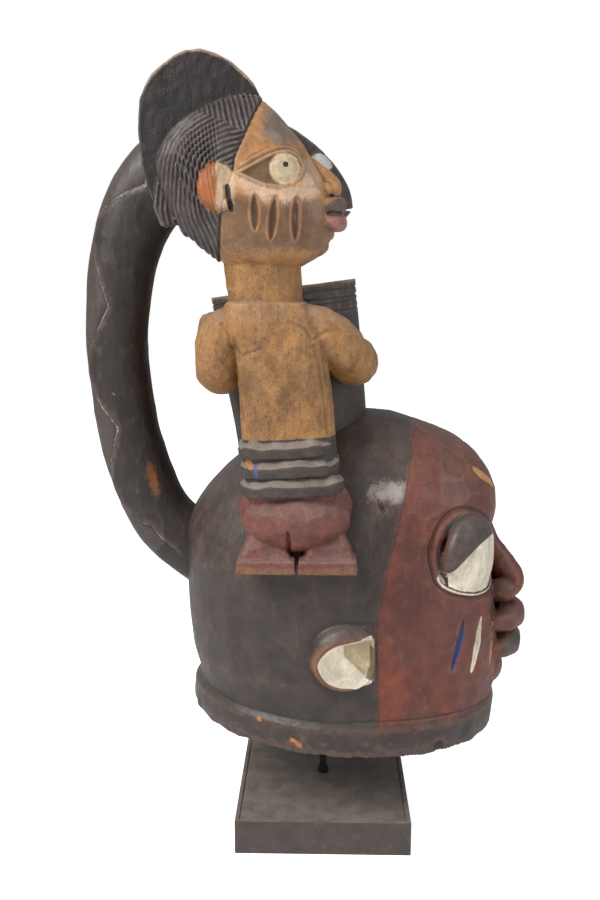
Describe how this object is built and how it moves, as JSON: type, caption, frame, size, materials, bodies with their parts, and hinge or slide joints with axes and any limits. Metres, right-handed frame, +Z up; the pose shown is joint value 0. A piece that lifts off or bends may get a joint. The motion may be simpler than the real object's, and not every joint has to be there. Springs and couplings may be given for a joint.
{
  "type": "gelede mask",
  "caption": "Carved wooden helmet mask with kneeling figures, a drum and an arching snake on its crown, held up on a rod and a black block.",
  "frame": {"origin": "centre of the base's underside", "axes": "+Z up, +X the way the mask's face looks, +Y towards its left side"},
  "size_m": [0.3891, 0.276, 0.651],
  "materials": {
    "carved_wood": "worn paint over adzed wood",
    "black_base": "dusty matte black paint",
    "black_metal": "black paint"
  },
  "bodies": {
    "root": {"mask": "carved_wood", "stand_base": "black_base", "stand_rod": "black_metal"}
  },
  "joints": []
}
